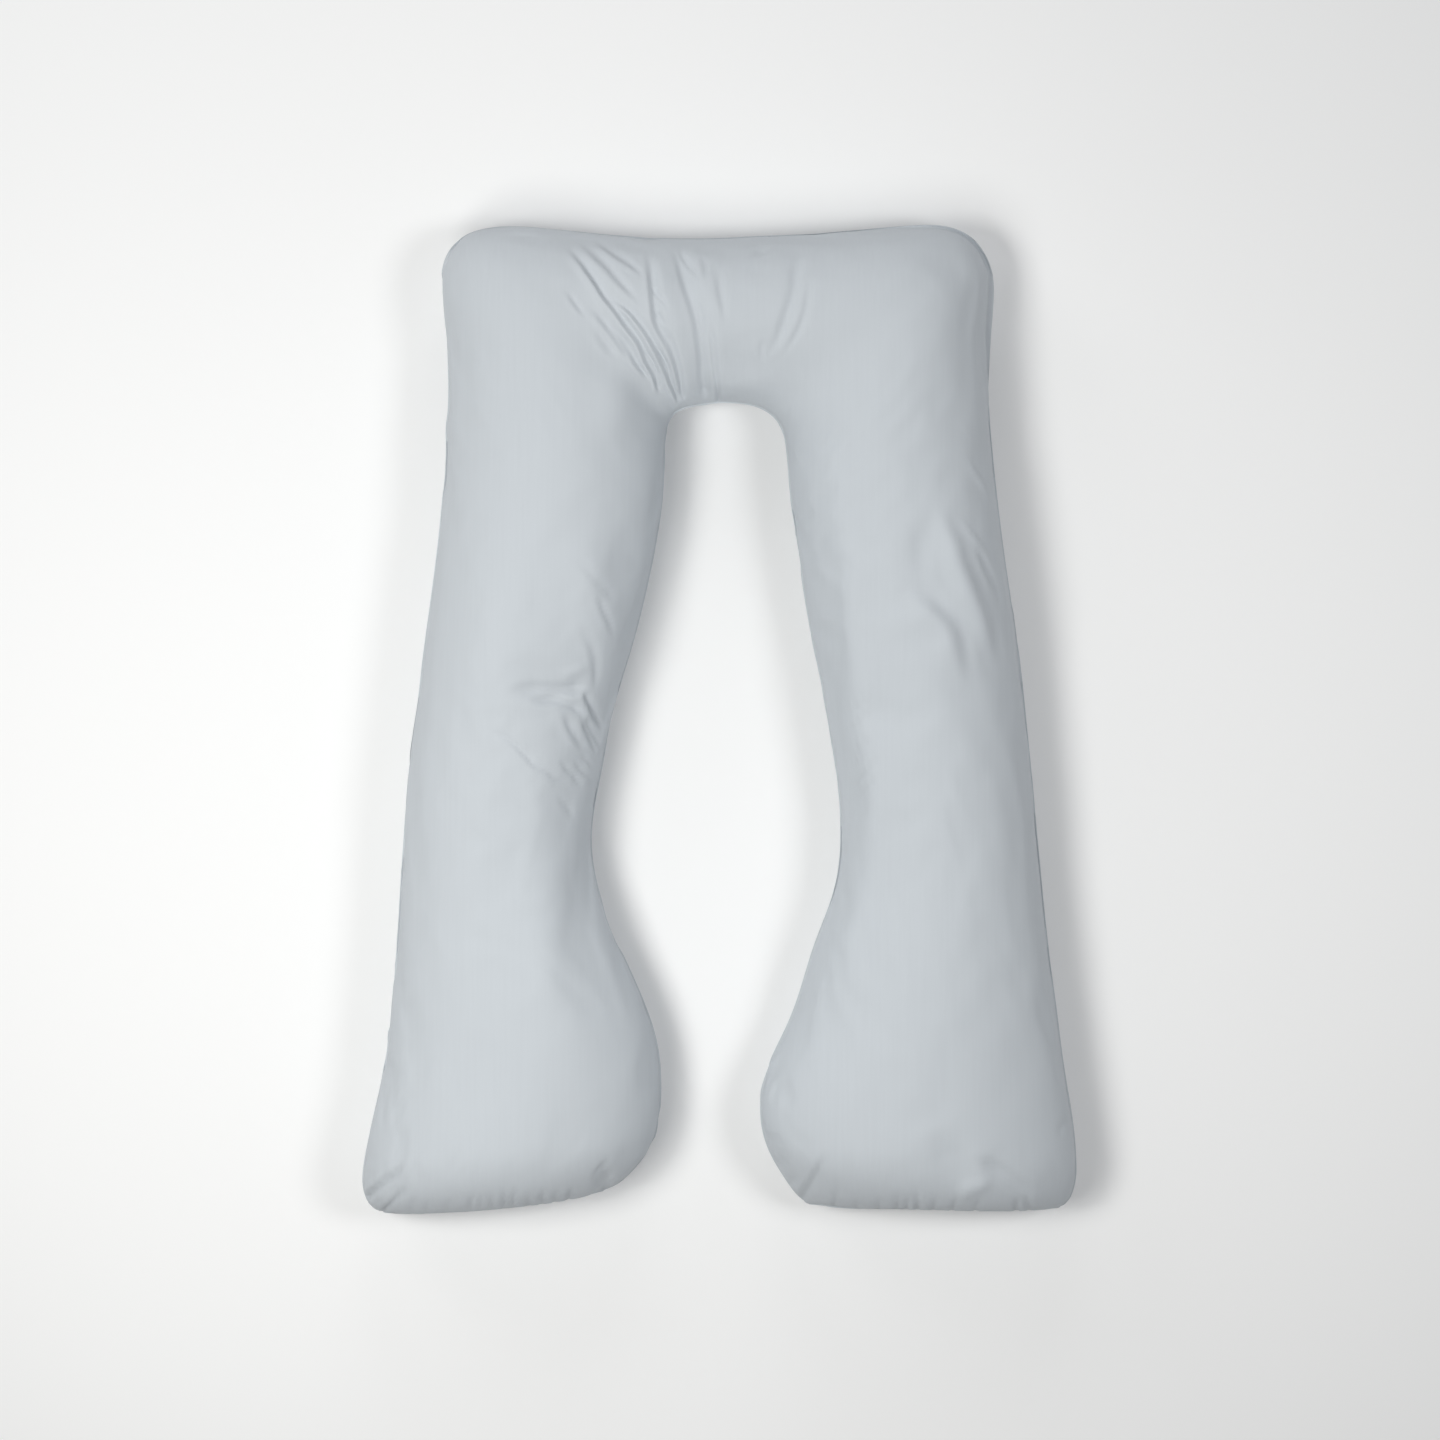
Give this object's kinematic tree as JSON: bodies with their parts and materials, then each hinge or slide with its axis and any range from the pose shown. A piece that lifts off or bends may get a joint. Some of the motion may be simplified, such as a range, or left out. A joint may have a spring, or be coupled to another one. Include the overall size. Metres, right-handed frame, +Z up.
{
  "type": "body pillow",
  "caption": "Long U-shaped body pillow, softly filled, lying flat: a bar for the head and two full-length legs with rounded, wider feet.",
  "frame": {"origin": "on the floor under the middle of the pillow's outline", "axes": "+Z up, +Y from the open feet towards the bar that joins the legs, +X across both legs"},
  "size_m": [1.048, 1.4451, 0.2122],
  "materials": {
    "cover_cloth": "smooth plain-woven cotton in pale blue-grey, matt with a faint sheen"
  },
  "bodies": {
    "root": {"pillow": "cover_cloth"}
  },
  "joints": []
}
